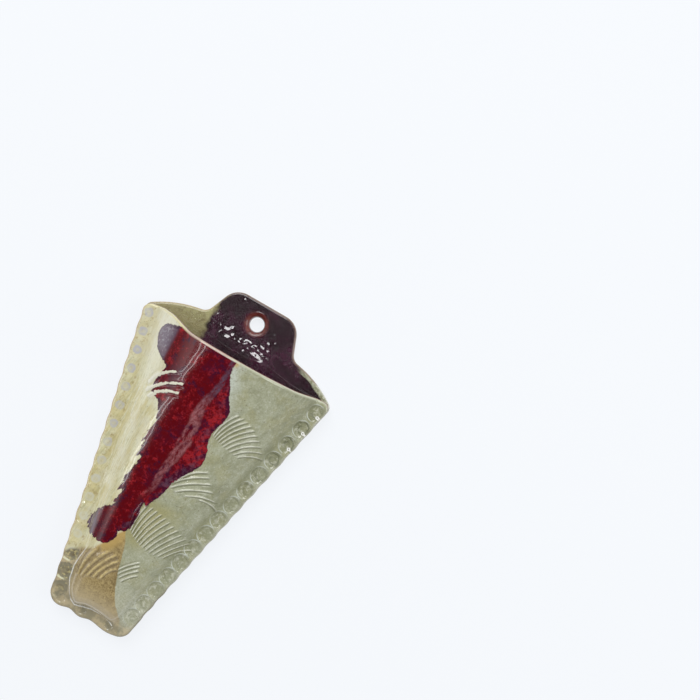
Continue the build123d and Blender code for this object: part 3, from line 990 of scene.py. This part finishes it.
class Glaze:
    """Adds shader nodes to one material and joins them."""

    def __init__(self, name):
        self.material = bpy.data.materials.new(name)
        self.material.use_nodes = True
        self.tree = self.material.node_tree
        self.point = add_node(self.tree, "ShaderNodeTexCoord").outputs["Object"]
        parts = add_node(self.tree, "ShaderNodeSeparateXYZ", {0: self.point}).outputs
        self.across, self.up = Share(parts["X"]), Share(parts["Z"])

    def value(self, name):
        """A value kept at the mesh's points."""
        return Share(add_node(self.tree, "ShaderNodeAttribute", attribute_name=name).outputs["Fac"])

    def noise(self, scale, detail=3.0, roughness=0.55, stretch=(1, 1, 1), turn=0.0, shift=0.0):
        """Cloudy noise of a scale per metre, stretched along the axes and turned about the depth."""
        way = {
            "Vector": self.point,
            "Scale": tuple(1 / along for along in stretch),
            "Rotation": (0, turn, 0),
            "Location": (-shift, -shift, -shift),
        }
        place = add_node(self.tree, "ShaderNodeMapping", way, vector_type="TEXTURE").outputs[0]
        cloud = {"Vector": place, "Scale": scale, "Detail": detail, "Roughness": roughness}
        return Share(add_node(self.tree, "ShaderNodeTexNoise", cloud).outputs["Fac"])

    def spots(self, scale, low, high):
        """Small separate spots: near the centres of random cells."""
        cells = add_node(self.tree, "ShaderNodeTexVoronoi", {"Vector": self.point, "Scale": scale})
        return Share(cells.outputs["Distance"]).step(high, low)

    def blend(self, share, first, second):
        """A colour between two."""
        inputs = {0: share, 6: first, 7: second}
        return add_node(self.tree, "ShaderNodeMix", inputs, data_type="RGBA").outputs[2]

    def coats(self, base, *coats):
        """A base colour under coats, each a share of cover and a colour."""
        for share, tint in coats:
            base = self.blend(share, base, tint)
        return base

    def comb(self):
        """Ridges and grooves of the comb strokes, from the place between two strokes and their spacing."""
        place, gap, force = self.value("comb_place"), self.value("comb_gap"), self.value("comb_force")
        beside = (place - place.math("ROUND")) * gap
        below = place.math("FRACT") * gap
        ridge = abs(beside).step(1.2, 0.3) * force
        groove = below.step(0.9, 1.7) * below.step(4.2, 2.0) * force
        return ridge, groove

    def stamp(self):
        """Dish, ring, swirl, pool, crescent and glint of the stamps, from the place in the nearest one.

        The ring is an arch towards the middle of the slab. The swirl is one wavering line that winds out from
        the centre. A right dish is fullest on its inner side, as painted shade. The crescent lies at a dish's
        foot, on the side that faces the light: partly pale glaze, partly painted highlight. The glint is a
        painted highlight at its lower right.
        """
        margin, line = self.value("margin"), self.value("stamp_out")
        across, up = self.value("stamp_x"), self.value("stamp_z")
        waver = self.noise(260, 4, 0.6, shift=15) - 0.5
        out = line + waver * 0.45
        right = self.across.step(-0.005, 0.005)
        # A right dish weighs most on its inner side, which is painted shade
        dish = out.step(0.98, 0.84) * (across * right).step(0.75, 0.1, 0.4, 1.0)
        facing = across * ARCH_WAY[0] + up * ARCH_WAY[1]
        ring = line.step(0.88, 0.95) * line.step(1.03, 0.97) * facing.step(-0.45, 0.2) * right
        reach = (across * across + up * up).math("SQRT")
        angle = up.math("ARCTAN2", across) + reach * (-2 * pi * SWIRL_TURNS) + waver * 9.0
        swirl = angle.math("COSINE").step(0.0, 0.9) * right * reach.step(0.15, 0.35) * reach.step(0.92, 0.8)
        pool = out.step(0.54, 0.42) * out.step(0.12, 0.34, 0.5, 1.0)
        # Crescent on the wall at a dish's foot that faces the light, partly painted highlight
        crescent = line.step(0.74, 0.86) * line.step(1.06, 1.0) * up.step(-0.6, -0.8) * across.step(0.5, 0.1)
        aside, under = across - PAINTED_GLINT_PLACE[0], up - PAINTED_GLINT_PLACE[1]
        apart = (aside * aside + under * under).math("SQRT")
        nib = apart.step(0.21, 0.16) * apart.step(0.04, 0.11, 0.05, 1.0) * right * self.up.step(-0.064, -0.06)
        return tuple(mark * margin for mark in (dish, ring, swirl, pool, crescent, nib))

    def finish(self, base, roughness, relief, depth):
        """Joins colour, roughness and fine relief to the shader."""
        fine = {"Height": relief, "Strength": BUMP_STRENGTH, "Distance": depth}
        looks = {
            "Base Color": base,
            "Roughness": roughness,
            "Normal": add_node(self.tree, "ShaderNodeBump", fine).outputs[0],
            "IOR": GLAZE_IOR,
            "Coat Weight": GLAZE_COAT,
            "Coat Roughness": COAT_ROUGHNESS,
            "Coat IOR": COAT_IOR,
        }
        for key, value in looks.items():
            put(self.tree.nodes["Principled BSDF"].inputs[key], value)
        return self.material


def plum_colour(g, c):
    """Dark plum glaze, clouded and flecked with lighter plum."""
    cloud = g.noise(70, 5, 0.65, shift=3).step(0.42, 0.72)
    fleck = g.noise(420, 4, 0.7, shift=5).step(0.56, 0.72)
    return g.coats(c.plum, (cloud * 0.7, c.plum_light), (fleck * 0.35, c.plum_light))


def green_glaze(g, c, n):
    """Grey green: cloudy, pale on ridges, rings and margin, deep in grooves and dishes, with iron specks."""
    up, pour = g.up, g.value("pour")
    cloud = n.slow * 0.45 + n.medium * 0.55
    mossy = pour.step(-20.0, -8.0) * up.step(-0.12, -0.128) * up.step(-0.166, -0.15)
    bloom = pour.step(-9.0, -1.0) * up.step(-0.07, -0.035)
    corner = pour.step(-4.0, -0.5) * up.step(-0.0285, -0.0255)
    shade = n.medium.step(0.35, 0.6, 0.45, 1.0) * up.step(-0.11, -0.04, 0.5, 1.0)
    crumple = g.noise(300, 5, 0.7, shift=21).step(0.48, 0.62, 0.0, 0.6)
    lines = n.swirl * up.step(-0.12, -0.05, 0.2, 0.75) * n.medium.step(0.36, 0.55, 0.3, 1.0)
    return g.coats(
        c.celadon_deep,
        (cloud.step(0.36, 0.6, 0.4, 1.0), c.celadon),
        (g.noise(75, 5, 0.65, shift=17).step(0.46, 0.62) * 0.4, c.olive),
        (n.small.step(0.48, 0.7) * 0.4, c.celadon_pale),
        (up.step(-0.165, -0.2, 0.0, 0.5), c.celadon_pale),
        (mossy * n.medium.step(0.35, 0.6, 0.7, 1.0), c.olive),
        (bloom * n.medium.step(0.35, 0.55, 0.5, 0.95), c.frost),
        (corner * 0.8, c.gold),
        (n.grain.step(0.38, 0.66) * 0.37, c.celadon_deep),
        # Glaze pooled in the dishes; a right dish's weight on its inner side is painted shade
        (n.dish * shade, c.celadon_deep),
        (n.dish * crumple, c.celadon_pale),
        (lines, c.moss),
        (n.groove * 0.7, c.celadon_deep),
        (n.ridge * n.small.step(0.3, 0.55, 0.5, 1.0), c.celadon_pale),
        (n.ring * n.medium.step(0.3, 0.55, 0.5, 1.0), c.frost),
        # Painted highlight: a white glint in each upper right stamp
        (n.nib, c.glint),
        (n.specks * 0.6, c.iron),
    )


def cream_glaze(g, c, n):
    """Cream: brushed with straw, clouded with white, yellow on the speckled margin, milky in the dishes."""
    brushed = g.noise(330, 4, 0.65, stretch=(1, 1, 0.07), turn=0.16)
    cloud = brushed * 0.6 + n.slow * 0.4
    hairs = g.noise(900, 3, 0.6, stretch=(1, 1, 0.05), turn=0.13, shift=23)
    fleck = n.small.step(0.55, 0.68) * n.margin.step(0.0, 1.0, 0.12, 0.6)
    filled = n.pool * g.up.step(-0.15, -0.06, 0.7, 1.0) * n.medium.step(0.35, 0.6, 0.45, 1.0)
    return g.coats(
        c.cream,
        (cloud.step(0.42, 0.62) * 0.8, c.straw),
        (hairs.step(0.5, 0.64) * 0.42, c.olive),
        (n.grain.step(0.45, 0.68) * 0.25, c.olive),
        (g.noise(60, 4, 0.6, shift=13).step(0.48, 0.66) * 0.45, c.milk),
        (g.up.step(-0.075, -0.035, 0.0, 0.4), c.milk),
        (n.margin * n.medium.step(0.36, 0.62, 0.0, 0.35), c.straw),
        (n.groove * 0.45, c.amber),
        (n.ridge * 0.5, c.milk),
        (fleck, c.amber),
        (filled, g.blend(g.up.step(-0.16, -0.09), c.celadon_pale, c.pool)),
        (n.specks * 0.55, c.iron),
    )


def amber_glaze(g, c, n):
    """Amber: golden under the red, buff at the foot, pale on ridges, slate in the lower margin's dishes."""
    margin = g.coats(
        c.buff,
        ((n.medium + n.dish * 0.24).step(0.4, 0.7), c.slate),
        (n.pool * n.medium.step(0.4, 0.6, 0.2, 0.7), c.amber_deep),
        (n.small.step(0.5, 0.64) * 0.7, c.straw),
        # Pale ridge at a dish's foot, on the side facing the light: partly pale glaze, partly painted
        # highlight
        (n.crescent * n.small.step(0.3, 0.5, 0.6, 1.0), c.cream),
    )
    return g.coats(
        c.amber_deep,
        ((n.slow * 0.5 + n.small * 0.5).step(0.36, 0.56), c.amber),
        (0.4, c.amber),
        (n.grain.step(0.44, 0.64) * 0.55, c.amber_deep),
        (n.small.step(0.5, 0.66) * 0.3, c.wheat),
        (g.up.step(-0.188, -0.206, 0.0, 0.75), c.buff),
        ((g.value("pour") + (n.medium - 0.5) * 5.0).step(-8.0, -1.0, 0.0, 0.8), c.gold),
        (n.groove * 0.5, c.amber_deep),
        (n.ridge * n.small.step(0.36, 0.6, 0.3, 1.0), c.wheat),
        (n.margin, margin),
        (n.specks * 0.6, c.iron),
    )


def red_glaze(g, c, n, inside):
    """Poured red: mottled, brighter right of the milky streak, blotched and edged with purple."""
    across, up, streak = g.across, g.up, g.value("streak")
    mottle = n.medium * 0.35 + n.small * 0.35 + n.grain * 0.3 + streak.step(1.0, 7.0, 0.0, 0.06)
    apart = abs(streak + (n.medium - 0.5) * 5.0)
    apart = apart * up.step(-0.068, -0.03, 1.0, 1.9) * up.step(-0.09, -0.122, 1.0, 1.7)
    broken = g.noise(330, 6, 0.78, stretch=(1, 1, 0.4), turn=0.15, shift=11).step(0.36, 0.6)
    milk = apart.step(4.4, 1.9) * broken * up.step(-0.135, -0.105) * n.small.step(0.3, 0.6, 0.5, 1.0)
    # Painted reflection: a violet veil with pale specks on the pour's left lobe, and on its lower tip
    bloom = across.step(-0.0345, -0.0375) * n.medium.step(0.3, 0.6, 0.75, 1.0)
    cloudy = g.noise(620, 5, 0.75, shift=25).step(0.5, 0.66) * across.step(-0.036, -0.041, 0.0, 0.6)
    painted_tip_sheen = (across + up * 0.27).step(-0.066, -0.0675) * up.step(-0.143, -0.148)
    blotch = g.noise(150, 5, 0.65, stretch=(1, 1, 0.4), turn=0.7, shift=19).step(0.46, 0.58)
    blotch = blotch * inside.step(9.0, 3.0) * streak.step(0.0, 4.0) * up.step(-0.05, -0.09, 0.4, 0.7)
    frayed = inside + (n.small - 0.5) * 4.0 + (n.slow - 0.5) * 9.0
    return g.coats(
        c.red,
        (mottle.step(0.5, 0.62), c.red_bright),
        (n.grain.step(0.5, 0.68) * streak.step(1.0, 6.0, 0.3, 0.7), c.purple),
        (g.noise(150, 5, 0.7, shift=9).step(0.52, 0.66) * 0.8, c.purple),
        (n.slow.step(0.5, 0.68) * 0.5, c.purple),
        (milk, g.blend(up.step(-0.062, -0.042), c.lavender, c.violet)),
        # Painted reflection on the pour's left lobe and lower tip
        (bloom, g.blend(cloudy, c.violet, c.pool)),
        (painted_tip_sheen * 0.9, c.violet),
        (blotch, g.blend(n.small.step(0.42, 0.6, 0.0, 0.8), c.purple, c.violet)),
        (frayed.step(2.0, 0.1, 0.0, 0.8), c.purple),
    )


def front_material(c):
    """Glaze of the front slab: green on the right, cream and amber on the left, red poured over them."""
    g = Glaze("front_glaze")
    across, up = g.across, g.up
    n = SimpleNamespace(
        slow=g.noise(38, 4, 0.6),
        medium=g.noise(140, 5, 0.62, shift=1),
        small=g.noise(420, 4, 0.65, shift=2),
        grain=g.noise(1100, 3, 0.6, shift=4),
        margin=g.value("margin"),
        specks=g.spots(420, 0.06, 0.2) * g.noise(90, 2, shift=7).step(0.47, 0.6),
    )
    n.ridge, n.groove = g.comb()
    n.dish, n.ring, n.swirl, n.pool, n.crescent, n.nib = g.stamp()

    steeper = (across + 0.017).math("MAXIMUM", 0.0)
    foot_line = across * -0.85 + steeper * -0.8 + up + (n.slow - 0.5) * 0.012
    green_side = (g.value("green") + (n.medium - 0.5) * 2.0).step(-0.35, 0.35)
    # Painted highlight: white along the raised line round the bow's foot
    toe_line = g.value("toe_line").step(0.5, 0.15) * up.step(-0.168, -0.184)
    # Painted shade in the crease where the bow rises from the right margin
    painted_crease_shade = abs(g.value("crease") - 1.5).step(5.0, 0.5) * across.step(0.02, 0.035)

    torn = g.noise(460, 4, 0.6, stretch=(1, 1, 0.14), turn=0.32, shift=6) - 0.5
    torn = torn * g.value("streak").step(-2.0, -8.0, 2.0, 7.0) * up.step(-0.06, -0.08, 0.15, 1.0)
    inside = g.value("pour") + torn + (n.medium - 0.5) * 2.0 + (n.small - 0.5) * 2.4
    scraped = g.noise(620, 4, 0.65, stretch=(0.22, 1, 1), turn=-0.5, shift=27) - 0.5
    frayed = (n.small - 0.5) * across.step(-0.034, -0.02, 0.6, 2.0) + scraped * 2.2
    wiped = g.value("wiped")
    wiped = wiped + frayed * wiped.step(0.02, 0.3)
    poured = inside.step(-0.2, 0.3) * (1.0 - wiped.step(0.42, 0.56))

    edge, within = g.value("edge"), g.value("inside")
    lower_edge = (up + across * -0.3).step(-0.178, -0.19, 0.0, 0.7)
    edge_colour = g.coats(c.tan, (across.step(-0.01, 0.02), c.stone), (lower_edge, c.amber_deep))
    rim_colour = g.blend(across.step(-0.036, -0.026), c.butter, c.rim)
    rim_colour = g.blend(across.step(-0.004, 0.006), rim_colour, c.celadon)
    base = g.coats(
        amber_glaze(g, c, n),
        (foot_line.step(-0.1585, -0.1545), cream_glaze(g, c, n)),
        (green_side, green_glaze(g, c, n)),
        (up.step(-0.203, -0.212) * 0.8, g.blend(n.medium.step(0.4, 0.6), c.slate, c.buff)),
        # Painted highlight along the raised line round the bow's foot
        (toe_line * n.small.step(0.3, 0.55, 0.25, 0.75), c.glint),
        # Painted shade in the right crease
        (painted_crease_shade * n.slow.step(0.35, 0.6, 0.2, 0.5), c.celadon_deep),
        (wiped.step(0.3, 0.5), c.milk),
        (poured, red_glaze(g, c, n, inside)),
        (g.value("rim") * n.medium.step(0.2, 0.5, 0.6, 1.0), rim_colour),
        (edge * n.small.step(0.25, 0.6, 0.5, 1.0), edge_colour),
        (within.step(0.0, 0.4), g.blend(across.step(-0.05, -0.03), c.umber, c.maroon)),
        (within.step(0.55, 1.0), plum_colour(g, c)),
    )
    rough = n.grain.step(0.3, 0.7, 0.12, 0.2) + edge * 0.15
    relief = n.small * 0.6 + n.grain * 0.25 + n.ridge * 0.9 + n.groove * -0.6
    relief = relief + n.ring * 0.5 + n.swirl * -0.5 + n.nib * 2.0
    return g.finish(base, rough, relief, FRONT_BUMP)


def back_material(c):
    """Glaze of the back slab: plum, olive on the left shoulder, thin at the edges, and bare clay behind."""
    g = Glaze("back_glaze")
    across, up = g.across, g.up
    slow, medium = g.noise(45, 4, 0.6), g.noise(160, 5, 0.65, shift=1)
    small, grain = g.noise(480, 4, 0.65, shift=2), g.noise(1700, 3, 0.6, shift=4)
    streaks = g.noise(300, 5, 0.7, stretch=(1, 1, 0.5), turn=0.5, shift=8)
    olive = g.coats(
        c.olive,
        (streaks.step(0.45, 0.7, 0.0, 0.7), c.amber_deep),
        (slow.step(0.4, 0.7) * 0.5, c.straw),
        (g.spots(420, 0.05, 0.18) * 0.5, c.iron),
        # Painted shade: the olive shoulder darkens with iron colour down towards the rim and the pocket
        (up.step(-0.008, -0.024, 0.0, 0.4), c.iron),
    )
    clay = g.coats(
        c.tan,
        (medium.step(0.35, 0.65), c.clay),
        (slow.step(0.35, 0.65, 0.45, 0.9), c.clay),
        (g.spots(520, 0.06, 0.2) * small.step(0.42, 0.6), c.iron),
    )
    line = across + (slow - 0.5) * 0.03
    plum_side = line.step(-0.031, -0.026)
    low_right = across.step(0.0, 0.02) * up.step(-0.02, -0.03)
    grey_side = line.step(0.047, 0.053).math("MAXIMUM", low_right)
    border = g.value("border") + (medium - 0.5) * 3.0
    green = border.step(3.6, 2.6) * across.step(0.036, 0.044)
    edge, rear = g.value("edge"), g.value("rear")
    edge_colour = g.coats(c.amber, (plum_side, c.umber), (grey_side, c.stone))
    base = g.coats(
        olive,
        (plum_side, plum_colour(g, c)),
        (green, g.blend(small.step(0.4, 0.6), c.celadon_deep, c.celadon)),
        (g.value("lip") * small.step(0.3, 0.6, 0.4, 0.9), c.maroon),
        (edge * small.step(0.25, 0.6, 0.6, 1.0), edge_colour),
        (rear, clay),
    )
    rough = grain.step(0.3, 0.7, 0.1, 0.18) + rear.math("MAXIMUM", edge * 0.3) * 0.6
    relief = small * 0.5 + grain * (rear * 0.5 + 0.55)
    return g.finish(base, rough, relief, BACK_BUMP)


def colours():
    """The glaze colours as plain tuples."""
    glazes = bpy.context.scene.vase_glazes
    return SimpleNamespace(**{key: tuple(getattr(glazes, key)) for key in VaseGlazes.__annotations__})


class VASE_OT_back_slab(Operator):
    """Build the back slab with its tab, hanging hole and plum glaze"""

    bl_idname = "vase.back_slab"
    bl_label = "Back Slab"

    def execute(self, context):
        piece = back_slab(millimetres(context.scene.vase_sizes), back_material(colours()))
        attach(piece, "root")
        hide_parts("back_slab")
        return {"FINISHED"}


class VASE_OT_front_slab(Operator):
    """Build the bowed front slab with its stamped margin, combed fans and poured glaze"""

    bl_idname = "vase.front_slab"
    bl_label = "Front Slab"

    def execute(self, context):
        piece = front_slab(millimetres(context.scene.vase_sizes), front_material(colours()))
        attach(piece, "root")
        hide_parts("front_slab")
        return {"FINISHED"}


# White board behind the vase, which is turned with the camera
BOARD_LEFT, BOARD_RIGHT, BOARD_LOW, BOARD_HIGH = -0.335, 0.6, -0.6, 0.6
BOARD_GAP = 0.0006
BOARD_GLOW = 0.86

# Lamps: name, direction from the vase, distance, width, height, setting of the power, and way of the height
AIM = Vector((0.0, -0.02, -0.1))
UP = (0.0, 0.0, 1.0)
STRIP_LEAN = (0.09, -0.2, 0.13)
LAMPS = (
    ("key", (-0.36, -0.72, 0.59), 1.5, 1.1, 0.9, "key_power", UP),
    ("fill", (0.8, -0.5, 0.34), 1.4, 0.8, 0.8, "fill_power", UP),
    ("strip", (-0.751, -0.546, -0.36), 1.0, 0.025, 0.6, "strip_power", STRIP_LEAN),
    ("strip", (-0.657, -0.657, -0.36), 1.0, 0.025, 0.6, "strip_power", STRIP_LEAN),
    ("glint", (-0.11, -0.99, -0.05), 1.6, 0.06, 0.09, "glint_power", UP),
    ("rear", (0.35, 0.85, 0.4), 1.3, 0.9, 0.9, "rear_power", UP),
)

# Grey card beside the vase, seen only in the shine of its right flank: corners (x, z) and brightness
CARD = ((0.03, -0.225), (0.7, -0.5), (0.7, 0.15), (0.07, -0.02))
CARD_GAP = -0.0012
CARD_GLOW = 0.3

# Dark surround on the camera's side: radius, heights, cells, and brightness at degrees from the right
SURROUND_RADIUS = 2.2
SURROUND_LOW, SURROUND_HIGH = -2.6, 2.2
SURROUND_CELLS = 190
SURROUND_GLOW = (
    (-8, 0.1), (30, 0.03), (132, 0.02), (134, 0.16), (142, 0.2), (144, 0.85), (168, 0.12), (182, 0.08),
)  # fmt: skip


def board_material():
    """White board: part glow and part matt white, so that shadows stay; seen from behind it is clear."""
    material, tree, surface = bare_material("white_board")
    ray = add_node(tree, "ShaderNodeLightPath").outputs
    glow = add_node(tree, "ShaderNodeEmission", {"Color": linear(246, 249, 253)}).outputs[0]
    matt = add_node(tree, "ShaderNodeBsdfDiffuse", {"Color": linear(240, 242, 245)}).outputs[0]
    clear = add_node(tree, "ShaderNodeBsdfTransparent").outputs[0]
    seen = Share(ray["Is Camera Ray"]).math("MAXIMUM", ray["Is Glossy Ray"])
    seen = seen.math("MAXIMUM", ray["Is Transmission Ray"])
    behind = Share(add_node(tree, "ShaderNodeNewGeometry").outputs["Backfacing"])
    unseen = behind.math("MAXIMUM", ray["Is Shadow Ray"])
    white = add_node(tree, "ShaderNodeMixShader", {0: seen * BOARD_GLOW, 1: matt, 2: glow}).outputs[0]
    put(surface, add_node(tree, "ShaderNodeMixShader", {0: unseen, 1: white, 2: clear}).outputs[0])
    return material


def lamp(name, way, far, wide, high, power, upright):
    """A soft rectangular lamp out along a way from the vase, facing it, with its height along upright."""
    light = bpy.data.lights.new(name, "AREA")
    light.shape = "RECTANGLE"
    light.size, light.size_y = wide, high
    light.energy = power
    made = bpy.data.objects.new(name, light)
    back = Vector(way).normalized()
    side = Vector(upright).cross(back).normalized()
    made.matrix_world = Matrix((side, back.cross(side), back)).transposed().to_4x4()
    made.location = AIM + back * far
    bpy.context.scene.collection.objects.link(made)


def stage_sheet(name, points, faces, material):
    """A plain sheet of the stage."""
    mesh = bpy.data.meshes.new(name)
    mesh.from_pydata(points, [], faces)
    mesh.materials.append(material)
    sheet = bpy.data.objects.new(name, mesh)
    bpy.context.scene.collection.objects.link(sheet)
    return sheet


def shine_only(name, points, faces, glow):
    """A glowing sheet that is seen only in the shine of the glaze, with its brightness at each point."""
    material, tree, surface = bare_material(name)
    value = add_node(tree, "ShaderNodeAttribute", attribute_name="glow").outputs["Fac"]
    put(surface, add_node(tree, "ShaderNodeEmission", {"Strength": value}).outputs[0])
    sheet = stage_sheet(name, points, faces, material)
    layer = sheet.data.attributes.new("glow", "FLOAT", "POINT")
    layer.data.foreach_set("value", np.asarray(glow, dtype=np.float32))
    sheet.visible_camera = False
    sheet.visible_diffuse = False
    sheet.visible_shadow = False
    sheet.visible_transmission = False


def surround():
    """Dark half drum on the camera's side, and a grey card beside the vase.

    The drum's angle runs from the right round the front to the left. Its glow follows a few given angles.
    """
    degrees = np.linspace(SURROUND_GLOW[0][0], SURROUND_GLOW[-1][0], SURROUND_CELLS)
    turn = np.radians(degrees)
    ring = np.stack([SURROUND_RADIUS * np.cos(turn), -SURROUND_RADIUS * np.sin(turn)], -1)
    points = np.concatenate([np.insert(ring, 2, height, axis=1) for height in (SURROUND_LOW, SURROUND_HIGH)])
    glow = np.tile(np.interp(degrees, *np.array(SURROUND_GLOW).T), 2)
    shine_only("surround", points.tolist(), sheet_faces(1, len(ring) - 1).reshape(-1, 4).tolist(), glow)
    shine_only("card", [(x, CARD_GAP, z) for x, z in CARD], [(0, 1, 2, 3)], [CARD_GLOW] * len(CARD))


class VASE_OT_studio(Operator):
    """Build the white board, the dark surround, the lamps, the pale room and the camera"""

    bl_idname = "vase.studio"
    bl_label = "Studio"

    def execute(self, context):
        scene, studio = context.scene, context.scene.vase_studio
        camera_data = bpy.data.cameras.new("camera")
        camera_data.angle = studio.camera_view
        camera = bpy.data.objects.new("camera", camera_data)
        camera.location = studio.camera_place
        camera.rotation_euler = (pi / 2, -studio.camera_roll, 0)
        scene.collection.objects.link(camera)
        scene.camera = camera

        across = np.array([[BOARD_LEFT], [BOARD_RIGHT], [BOARD_RIGHT], [BOARD_LEFT]])
        high = np.array([[BOARD_LOW], [BOARD_LOW], [BOARD_HIGH], [BOARD_HIGH]])
        right = np.array([np.cos(studio.camera_roll), np.sin(studio.camera_roll)])
        up = np.array([-right[1], right[0]])
        flat = np.array([studio.camera_place[0], studio.camera_place[2]]) + across * right + high * up
        stage_sheet("board", [(x, BOARD_GAP, z) for x, z in flat.tolist()], [(0, 1, 2, 3)], board_material())

        surround()
        for name, way, far, wide, high, power, upright in LAMPS:
            lamp(name, way, far, wide, high, getattr(studio, power), upright)
        world = bpy.data.worlds.new("room")
        world.use_nodes = True
        world.node_tree.nodes["Background"].inputs["Color"].default_value = (*(studio.room_light,) * 3, 1)
        scene.world = world
        scene.view_settings.view_transform = "Standard"
        return {"FINISHED"}


class VASE_PT_panel(Panel):
    """Sizes, glazes and builders of the wall vase"""

    bl_label = "Hanging Wall Vase"
    bl_idname = "VASE_PT_panel"
    bl_space_type = "VIEW_3D"
    bl_region_type = "UI"
    bl_category = "Wall Vase"

    def draw(self, context):
        for owner in (context.scene.vase_sizes, context.scene.vase_glazes, context.scene.vase_studio):
            box = self.layout.box()
            for key in type(owner).__annotations__:
                box.prop(owner, key)
        for operator in (VASE_OT_back_slab, VASE_OT_front_slab, VASE_OT_studio):
            self.layout.operator(operator.bl_idname)


CLASSES = (
    VaseSizes,
    VaseGlazes,
    VaseStudio,
    VASE_OT_back_slab,
    VASE_OT_front_slab,
    VASE_OT_studio,
    VASE_PT_panel,
)


def register():
    """Adds the classes and the scene's settings."""
    for item in CLASSES:
        bpy.utils.register_class(item)
    bpy.types.Scene.vase_sizes = PointerProperty(type=VaseSizes)
    bpy.types.Scene.vase_glazes = PointerProperty(type=VaseGlazes)
    bpy.types.Scene.vase_studio = PointerProperty(type=VaseStudio)


def unregister():
    """Takes away what register added."""
    del bpy.types.Scene.vase_studio
    del bpy.types.Scene.vase_glazes
    del bpy.types.Scene.vase_sizes
    for item in reversed(CLASSES):
        bpy.utils.unregister_class(item)


def main():
    """Builds the vase and its studio."""
    register()
    bpy.ops.vase.back_slab()
    bpy.ops.vase.front_slab()
    bpy.ops.vase.studio()
    bpy.context.view_layer.update()


if __name__ == "__main__":
    main()
